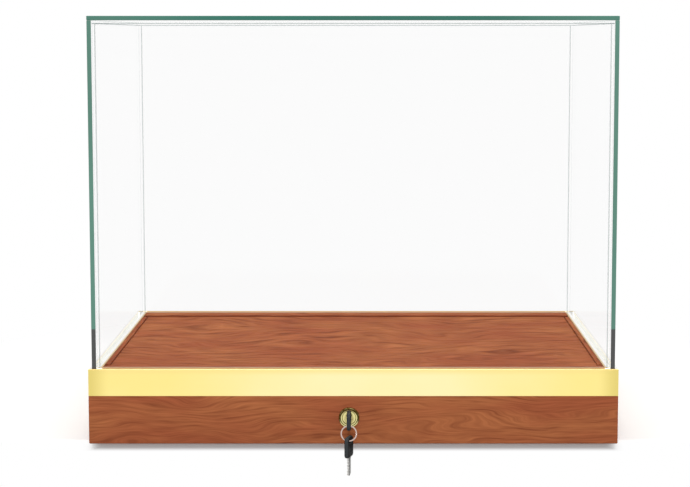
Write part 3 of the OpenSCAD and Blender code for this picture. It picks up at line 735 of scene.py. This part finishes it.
def brass_with_painted_reflection():
    m = new_finish("brass_with_painted_dark_rim")
    place = node(m, "TexCoord").outputs["Object"]
    centred = node(m, "Mapping", {"Vector": place, "Location": -lock_axis})
    flat = node(m, "VectorMath", {0: centred, 1: (1.0, 0.0, 1.0)}, operation="MULTIPLY")
    radius = node(m, "VectorMath", {0: flat}, operation="LENGTH")
    height = node(m, "SeparateXYZ", {"Vector": centred}).outputs[Z]
    radius = node(m, "Math", {0: height, 1: DARK_REFLECTION_CREEP, 2: radius},
                  operation="MULTIPLY_ADD")
    rim = node(m, "MapRange", {
        "Value": radius, "From Min": DARK_REFLECTION_FROM, "From Max": DARK_REFLECTION_FULL})
    upper_part = node(m, "MapRange", {
        "Value": height, "From Min": BRIGHT_BELOW, "From Max": DARK_ABOVE})
    reflection_breakup = node(m, "TexNoise", {
        "Vector": place, "Scale": 1 / DARK_REFLECTION_SPOT, "Detail": 2.0}).outputs["Fac"]
    reflection_breakup = node(m, "MapRange", {
        "Value": reflection_breakup, "From Min": 0.3, "From Max": 0.6, "To Min": 0.8})
    # Painted dark reflection on the roll of the rim, strongest at the top
    dark_reflection = node(m, "Math", {0: rim, 1: upper_part}, operation="MULTIPLY")
    dark_reflection = node(m, "Math", {0: dark_reflection, 1: reflection_breakup}, operation="MULTIPLY")
    colour = node(m, "Mix", {
        "Factor": dark_reflection, "A": linear(BRASS), "B": linear("#4A3305")},
        data_type="RGBA")
    roughness = node(m, "MapRange", {"Value": dark_reflection, "To Min": 0.16, "To Max": 0.5})
    surface = node(m, "BsdfPrincipled", {
        "Base Color": colour, "Metallic": 1.0, "Roughness": roughness})
    return surfaced(m, surface)


def housing_with_groove():
    bm = merged_copy("lock_housing")
    face = [f for f in bm.faces
            if all(abs(v.co.y - housing_low.y) < NEAR for v in f.verts)]
    bmesh.ops.inset_region(bm, faces=face, thickness=GROOVE_INSET, use_boundary=True,
                           use_even_offset=True)
    bmesh.ops.inset_region(bm, faces=face, thickness=GROOVE_SLOPE, depth=-GROOVE_DEPTH,
                           use_boundary=True, use_even_offset=True)
    return bm


stand_in(housing_with_groove(), "turned_housing", "lock_housing", "base",
         brass_with_painted_reflection())

# %% [markdown]
# The plug is the disc that the key turns. Its edges would be broken by hand, and those
# thin bevels catch the light, so the sharp edges at its face get one: the rim, and the
# mouth of the keyway.

# %% Lock plug
PLUG_BEVEL = 0.2 * MM


def bevelled_plug():
    bm = flattened(merged_copy("lock_plug"))
    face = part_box("lock_plug")[0].y
    rim = sharp_edges(bm, lambda e: all(abs(v.co.y - face) < NEAR for v in e.verts))
    bmesh.ops.bevel(bm, geom=rim, offset=PLUG_BEVEL, segments=2, profile=0.5,
                    affect="EDGES", material=-1, clamp_overlap=True)
    return bm


stand_in(bevelled_plug(), "turned_plug", "lock_plug", "lock", brass)

# %% [markdown]
# A key is a flat nickel plated blade with a bow moulded over its end. The blade is stamped
# and then cut, and tumbling takes the burr off every edge, so all its sharp edges get a
# narrow bevel. The broad faces are painted dark, a painted shade, while the narrow edges
# are bright nickel, and the way a face looks tells the finish which is which.

# %% Key blades
BLADE_BEVEL = 0.12 * MM
WEAR_SPOT = 3 * MM


def broad_side(m, normal):
    """1 on the broad sides of a key, which face along X, and 0 on its narrow ones."""
    facing = node(m, "SeparateXYZ", {"Vector": normal}).outputs
    sideways = node(m, "Math", {0: facing[X]}, operation="ABSOLUTE")
    return node(m, "MapRange", {"Value": sideways, "From Min": 0.5, "From Max": 0.9})


def plated_blade():
    m = new_finish("nickel_plate_on_rolled_brass")
    coordinates = node(m, "TexCoord").outputs
    wear = node(m, "TexNoise", {
        "Vector": coordinates["Object"], "Scale": 1 / WEAR_SPOT,
        "Detail": 3.0}).outputs["Fac"]
    wear = node(m, "MapRange", {"Value": wear, "From Min": 0.4, "From Max": 0.65})
    painted_dark_face = node(m, "Mix", {
        "Factor": wear, "A": linear("#3A3A39"), "B": linear("#7B7A78")},
        data_type="RGBA")
    # Painted shade: the broad faces are dark grey, the narrow ones bright nickel
    colour = node(m, "Mix", {
        "Factor": broad_side(m, coordinates["Normal"]), "A": linear("#CFCECB"),
        "B": painted_dark_face}, data_type="RGBA")
    roughness = node(m, "MapRange", {"Value": wear, "To Min": 0.35, "To Max": 0.2})
    surface = node(m, "BsdfPrincipled", {
        "Base Color": colour, "Metallic": 1.0, "Roughness": roughness})
    return surfaced(m, surface)


def tumbled_blade(node_name):
    bm = flattened(merged_copy(node_name))
    bmesh.ops.bevel(bm, geom=sharp_edges(bm), offset=BLADE_BEVEL, segments=1,
                    profile=0.5, affect="EDGES", material=-1, clamp_overlap=True)
    return bm


blade_metal = plated_blade()
stand_in(tumbled_blade("key_blade"), "tumbled_key_blade", "key_blade", "key",
         blade_metal)
stand_in(tumbled_blade("spare_blade"), "tumbled_spare_blade", "spare_blade", "spare_key",
         blade_metal)

# %% [markdown]
# The bows are moulded ABS, black with a fine spark-eroded texture that dulls the gloss.
# The narrow sides are painted grey, a painted light, and the broad faces keep their black.
# The grit is drawn coarser than the mould's, or it would not show.

# %% ABS of the bows
SPARK_GRIT = 0.5 * MM
GRIT_DEPTH = 0.1 * MM
RUBBED_PATCH = 8 * MM


def spark_textured_abs():
    m = new_finish("spark_textured_abs")
    coordinates = node(m, "TexCoord").outputs
    place = coordinates["Object"]
    grit = node(m, "TexNoise", {
        "Vector": place, "Scale": 1 / SPARK_GRIT, "Detail": 2.0}).outputs["Fac"]
    rubbed = node(m, "TexNoise", {
        "Vector": place, "Scale": 1 / RUBBED_PATCH, "Detail": 2.0}).outputs["Fac"]
    roughness = node(m, "MapRange", {
        "Value": rubbed, "From Min": 0.35, "From Max": 0.65, "To Min": 0.3,
        "To Max": 0.48})
    # Painted light: the narrow sides are a lighter grey than the broad faces
    painted_shading = node(m, "Mix", {
        "Factor": grit, "A": linear("#2A2C2E"), "B": linear("#484B4D")},
        data_type="RGBA")
    broad_black = node(m, "Mix", {
        "Factor": grit, "A": linear("#0F1011"), "B": linear("#1C1E1F")},
        data_type="RGBA")
    colour = node(m, "Mix", {
        "Factor": broad_side(m, coordinates["Normal"]), "A": painted_shading, "B": broad_black},
        data_type="RGBA")
    bump = node(m, "Bump", {"Height": grit, "Strength": 0.25, "Distance": GRIT_DEPTH})
    surface = node(m, "BsdfPrincipled", {
        "Base Color": colour, "Roughness": roughness, "Specular IOR Level": 0.02,
        "Normal": bump})
    return surfaced(m, surface)


moulded_abs = spark_textured_abs()
print("grit", round(SPARK_GRIT / MM, 1), "mm wide")

# %% [markdown]
# A bow could be a subdivided box, but its outline has four corners of two sizes and a
# slot with round ends. Rounding the corners of two flat rectangles gives both outlines
# exactly. The space between them is filled, extruded to the bow's thickness, and its rims
# are bevelled.

# %% Key bows
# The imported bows' own sizes; only the rims are rounded more finely here
BOW_THICK = 4.8 * MM
BOW_WIDE = 20 * MM
BOW_LONG = 24 * MM
BOW_END_ROUND = 5 * MM
BOW_NECK_ROUND = 4 * MM
BOW_RIM = 1.5 * MM
SLOT_LONG = 12.8 * MM
SLOT_WIDE = 4.5 * MM
SLOT_FROM_NECK = 18.15 * MM
SLOT_RIM = 0.9 * MM
# The spare key hangs a little turned, as one does from a ring
SPARE_TURN = math.radians(-18)


def rounded_rectangle(bm, half_wide, near, far, near_round, far_round):
    """A flat rectangle, thin along X, with its near and its far corners rounded."""
    corners = [bm.verts.new((0.0, y, z)) for y, z in (
        (-half_wide, near), (half_wide, near), (half_wide, far), (-half_wide, far))]
    bm.faces.new(corners)
    for pair, rounding in ((corners[:2], near_round), (corners[2:], far_round)):
        bmesh.ops.bevel(bm, geom=pair, offset=rounding, segments=7, profile=0.5,
                        affect="VERTICES", material=-1)


def bow_form(place):
    """A bow with the slot for the ring. Its neck is at the origin, its end up."""
    bm = bmesh.new()
    rounded_rectangle(bm, BOW_WIDE / 2, 0, BOW_LONG, BOW_NECK_ROUND, BOW_END_ROUND)
    slot_low, slot_high = SLOT_FROM_NECK - SLOT_WIDE / 2, SLOT_FROM_NECK + SLOT_WIDE / 2
    rounded_rectangle(bm, SLOT_LONG / 2, slot_low, slot_high, SLOT_WIDE / 2,
                      SLOT_WIDE / 2)
    bmesh.ops.delete(bm, geom=bm.faces, context="FACES_ONLY")
    bmesh.ops.remove_doubles(bm, verts=bm.verts, dist=NEAR)
    bmesh.ops.triangle_fill(bm, edges=bm.edges, use_beauty=True)
    flattened(bm)
    made = bmesh.ops.extrude_face_region(bm, geom=bm.faces)["geom"]
    bmesh.ops.translate(bm, verts=[v for v in made if isinstance(v, bmesh.types.BMVert)],
                        vec=(BOW_THICK, 0, 0))
    bmesh.ops.translate(bm, verts=bm.verts, vec=(-BOW_THICK / 2, 0, 0))
    bmesh.ops.recalc_face_normals(bm, faces=bm.faces)

    def on_slot(e):
        return all(abs(v.co.y) < SLOT_LONG / 2 + NEAR
                   and slot_low - NEAR < v.co.z < slot_high + NEAR for v in e.verts)

    def on_rim(e):
        return abs(e.verts[0].co.x - e.verts[1].co.x) < NEAR

    outer = sharp_edges(bm, lambda e: on_rim(e) and not on_slot(e))
    bmesh.ops.bevel(bm, geom=outer, offset=BOW_RIM, segments=4, profile=0.5,
                    affect="EDGES", material=-1)
    inner = sharp_edges(bm, lambda e: on_rim(e) and on_slot(e))
    bmesh.ops.bevel(bm, geom=inner, offset=SLOT_RIM, segments=3, profile=0.5,
                    affect="EDGES", material=-1)
    bmesh.ops.transform(bm, matrix=place, verts=bm.verts)
    return bm


bow_low, bow_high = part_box("key_bow")
bow_middle = (bow_low + bow_high) / 2
key_place = (Matrix.Translation((bow_middle.x, bow_high.y, bow_middle.z))
             @ Matrix.Rotation(math.pi / 2, 4, "X"))
stand_in(bow_form(key_place), "moulded_key_bow", "key_bow", "key", moulded_abs)
bow_low, bow_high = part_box("spare_bow")
bow_middle = (bow_low + bow_high) / 2
spare_place = (Matrix.Translation((bow_middle.x, bow_middle.y, bow_low.z))
               @ Matrix.Rotation(SPARE_TURN, 4, "Z"))
stand_in(bow_form(spare_place), "moulded_spare_bow", "spare_bow", "spare_key",
         moulded_abs)

# %% [markdown]
# The split ring is one flat steel wire wound twice round and nickel plated. It could be
# two tori, but then it has no ends and no crossing, and those are what a split ring is
# known by. So a rounded section is spun almost once round at the front, over to the back
# in a short crossing, and almost once round again. Spin moves along its axis as it turns
# when it is given a vector for each step.

# %% Split ring
# Each stretch of the wire: its degrees, its steps, and how far it moves towards the back
RING_TURNS = [(343.4, 88, 0.0), (14.0, 7, 0.85 * MM), (343.4, 88, 0.0)]
RING_START = math.radians(2.6)
WIRE_ROUND = 0.34 * MM
WIRE_GAP = 0.05 * MM
WIRE_WIDE = 1.6 * MM


def wound_ring():
    low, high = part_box("split_ring")
    centre = (low + high) / 2
    outer = (high.x - low.x) / 2
    bm = bmesh.new()
    section = bm.faces.new([bm.verts.new(centre + Vector((x, y, 0))) for x, y in (
        (outer - WIRE_WIDE, low.y - centre.y), (outer, low.y - centre.y),
        (outer, -WIRE_GAP), (outer - WIRE_WIDE, -WIRE_GAP))])
    bmesh.ops.bevel(bm, geom=section.verts, offset=WIRE_ROUND, segments=3, profile=0.5,
                    affect="VERTICES", material=-1)
    bmesh.ops.rotate(bm, verts=bm.verts, cent=centre,
                     matrix=Matrix.Rotation(-RING_START, 3, "Y"))
    last = bm.verts[:] + bm.edges[:] + bm.faces[:]
    for degrees, steps, sideways in RING_TURNS:
        last = bmesh.ops.spin(bm, geom=last, cent=centre, axis=(0, -1, 0),
                              dvec=(0, sideways / steps, 0),
                              angle=math.radians(degrees), steps=steps)["geom_last"]
    return bm


stand_in(wound_ring(), "wound_ring", "split_ring", "ring", nickel)

# %% [markdown]
# The panes stand in a groove of the frame, bedded in a translucent silicone seal. Glass
# carries light down inside it and lets it out at its foot, so along the sides the seal
# glows white. A clear film carries no light, so the seal is given that share as painted
# light, a weak emission, and a stronger one in the corners, where two panes end. In the
# long runs at the front and the back, the gold of the groove shines through the seal.

# %% Silicone seal
PIPED_LIGHT = 0.25
CORNER_LIGHT = 0.7
CLOUD = 9 * MM
SEAL_RELIEF = 0.2 * MM


def pale_silicone():
    m = new_finish("translucent_silicone")
    place = node(m, "TexCoord").outputs["Object"]
    cloud = node(m, "TexNoise", {
        "Vector": place, "Scale": 1 / CLOUD, "Detail": 2.0}).outputs["Fac"]
    colour = node(m, "Mix", {
        "Factor": cloud, "A": linear("#F6F6F3"), "B": linear("#EEEEE9")},
        data_type="RGBA")
    axes = node(m, "SeparateXYZ", {"Vector": place}).outputs
    long_side = node(m, "Math", {0: axes[Y]}, operation="ABSOLUTE")
    long_side = node(m, "Math", {0: long_side, 1: inner_face}, operation="GREATER_THAN")
    between = node(m, "Math", {0: axes[X]}, operation="ABSOLUTE")
    between = node(m, "Math", {0: between, 1: bar_low.x}, operation="LESS_THAN")
    long_run = node(m, "Math", {0: long_side, 1: between}, operation="MULTIPLY")
    colour = node(m, "Mix", {
        "Factor": long_run, "A": colour, "B": linear("#C29B60")}, data_type="RGBA")
    corner = node(m, "Math", {0: long_side, 1: long_run}, operation="SUBTRACT")
    light = node(m, "MapRange", {"Value": corner, "To Min": PIPED_LIGHT / CORNER_LIGHT})
    light = node(m, "VectorMath", {0: colour, 1: light}, operation="MULTIPLY")
    bump = node(m, "Bump", {"Height": cloud, "Strength": 0.2, "Distance": SEAL_RELIEF})
    surface = node(m, "BsdfPrincipled", {
        "Base Color": colour, "Roughness": 0.55, "Normal": bump,
        "Emission Color": light, "Emission Strength": CORNER_LIGHT})
    return surfaced(m, surface)


finish_of(nodes["glazing_seal"], pale_silicone())
print("the seal's corners give", CORNER_LIGHT, "and its sides", PIPED_LIGHT)

# %% [markdown]
# The case stands at the front edge of a white counter, so that the spare key can hang
# past it. That edge is rounded and the base overhangs it a little, and the shade there is
# the soft line that grounds the case. The counter is a bevelled block. It is far wider and
# deeper than the view, and staged, so it isn't part of the case.

# %% Counter
OVERHANG = 16 * MM
EDGE_ROUND = 6 * MM
COUNTER_SIZE = (8.0, 6.0, 2.0)


def counter_block():
    bm = bmesh.new()
    bmesh.ops.create_cube(bm, size=1.0)
    bmesh.ops.scale(bm, verts=bm.verts, vec=COUNTER_SIZE)
    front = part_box("front_board")[0].y + OVERHANG
    bmesh.ops.translate(bm, verts=bm.verts, vec=(
        0, front + COUNTER_SIZE[Y] / 2, -COUNTER_SIZE[Z] / 2))
    edge = [e for e in bm.edges
            if all(v.co.z > -NEAR and v.co.y < front + NEAR for v in e.verts)]
    bmesh.ops.bevel(bm, geom=edge, offset=EDGE_ROUND, segments=8, profile=0.5,
                    affect="EDGES", material=-1)
    mesh = bpy.data.meshes.new("counter")
    bm.to_mesh(mesh)
    bm.free()
    mesh.shade_smooth()
    mesh.set_sharp_from_angle(angle=SHARP)
    made = bpy.data.objects.new("counter", mesh)
    bpy.context.scene.collection.objects.link(made)
    print("counter's edge at y", round(front / MM, 1), "mm")
    return made


counter = counter_block()

# %% [markdown]
# The counter is white paint, and its top has a little glow of its own, added only for
# rays from the camera, a mirror or a pane. Far from the case, past the ends of the base
# and below the edge it turns into the plain white of the room, so that no horizon shows
# through the glass and no cabinet under the counter.

# %% Counter's paint
COUNTER_GLOW = 0.07
PAINT_REACH = 0.45
ROOM_REACH = 0.7
SHADE_DEPTH = -7.5 * MM
CABINET_DEPTH = -13.5 * MM
# The front edge turns white from this far inside the end of the base to as far outside
EDGE_FADE = 12 * MM


def white_to_the_eye(m):
    """1 for a ray from the camera, a mirror or a pane, and 0 for light that falls."""
    path = node(m, "LightPath").outputs
    seen = node(m, "Math", {
        0: path["Is Camera Ray"], 1: path["Is Glossy Ray"]}, operation="MAXIMUM")
    return node(m, "Math", {0: seen, 1: path["Is Transmission Ray"]}, operation="MAXIMUM")


def room_share(m, place, axes, on_edge):
    """How much of the room's white a point of the counter has, from 0 to 1."""
    distance = node(m, "VectorMath", {0: place}, operation="LENGTH")
    far = node(m, "MapRange", {
        "Value": distance, "From Min": PAINT_REACH, "From Max": ROOM_REACH},
        interpolation_type="SMOOTHSTEP")
    below = node(m, "MapRange", {
        "Value": axes[Z], "From Min": CABINET_DEPTH, "From Max": SHADE_DEPTH,
        "To Min": 1.0, "To Max": 0.0}, interpolation_type="SMOOTHSTEP")
    far = node(m, "Math", {0: far, 1: below}, operation="MAXIMUM")
    base_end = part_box("front_board")[1].x
    beside = node(m, "Math", {0: axes[X]}, operation="ABSOLUTE")
    beside = node(m, "MapRange", {
        "Value": beside, "From Min": base_end - EDGE_FADE,
        "From Max": base_end + EDGE_FADE}, interpolation_type="SMOOTHSTEP")
    beside = node(m, "Math", {0: beside, 1: on_edge}, operation="MULTIPLY")
    return node(m, "Math", {0: far, 1: beside}, operation="MAXIMUM")


def white_paint():
    m = new_finish("white_counter")
    place = node(m, "TexCoord").outputs["Object"]
    axes = node(m, "SeparateXYZ", {"Vector": place}).outputs
    on_edge = node(m, "MapRange", {
        "Value": axes[Z], "From Min": -EDGE_ROUND / 2, "From Max": 0.0, "To Min": 1.0,
        "To Max": 0.0})
    strength = node(m, "MapRange", {
        "Value": on_edge, "To Min": COUNTER_GLOW, "To Max": 0.0})
    glow = node(m, "Emission", {"Color": WHITE, "Strength": strength})
    paint = node(m, "BsdfDiffuse", {"Color": linear("#F3F3F3")})
    both = node(m, "AddShader", {0: paint, 1: glow})
    room = node(m, "Emission", {"Color": WHITE, "Strength": 1.0})
    both = node(m, "MixShader", {
        0: room_share(m, place, axes, on_edge), 1: both, 2: room})
    surface = node(m, "MixShader", {0: white_to_the_eye(m), 1: paint, 2: both})
    return surfaced(m, surface)


counter.data.materials.append(white_paint())
print("paint up to", PAINT_REACH, "m from the case's middle")

# %% [markdown]
# The room is a white studio, brighter above than below. What falls on the case comes from
# that gradient; what the camera, a mirror or a pane sees of the room is plain white. The
# gradient is smooth, so it needs no sampling of its own, and metal sees the white too.

# %% Room
LIGHT_BELOW = 0.35
LIGHT_ABOVE = 0.8

world = bpy.data.worlds.new("white_room")
bpy.context.scene.world = world
world.cycles.sampling_method = "NONE"
world.use_nodes = True
world.node_tree.nodes.clear()
direction = node(world, "TexCoord").outputs["Generated"]
upward = node(world, "SeparateXYZ", {"Vector": direction}).outputs[Z]
falling = node(world, "MapRange", {
    "Value": upward, "From Min": -1.0, "To Min": LIGHT_BELOW, "To Max": LIGHT_ABOVE})
dim = node(world, "Background", {"Color": WHITE, "Strength": falling})
bright = node(world, "Background", {"Color": WHITE, "Strength": 1.0})
sky = node(world, "MixShader", {0: white_to_the_eye(world), 1: dim, 2: bright})
node(world, "OutputWorld", {"Surface": sky})
print("the room lights from", LIGHT_BELOW, "below to", LIGHT_ABOVE, "above")

# %% [markdown]
# One large soft lamp stands high in front. At this distance its rays are as good as
# parallel, so a sun with a wide angle does the same and stays even over the whole case.
# Its light and the room's add up to a level at which a colour renders as it is written.

# %% Lamp
LAMP_STRENGTH = 1.78
LAMP_SOFTNESS = math.radians(25)
LAMP_SLOPE = math.radians(45)

lamp_data = bpy.data.lights.new("front_lamp", "SUN")
lamp_data.energy = LAMP_STRENGTH
lamp_data.angle = LAMP_SOFTNESS
lamp = bpy.data.objects.new("front_lamp", lamp_data)
lamp.rotation_euler = (LAMP_SLOPE, 0, 0)
bpy.context.scene.collection.objects.link(lamp)
print("lamp", LAMP_STRENGTH, "from", round(math.degrees(LAMP_SLOPE)), "degrees in front")

# %% [markdown]
# View rays cross up to a dozen clear surfaces on their way through the hood, more than
# the usual limit lets through. View transform Standard shows a colour as it is written.

# %% Finish
CLEAR_SURFACES = 40

bpy.context.scene.cycles.transparent_max_bounces = CLEAR_SURFACES
bpy.context.scene.view_settings.view_transform = "Standard"
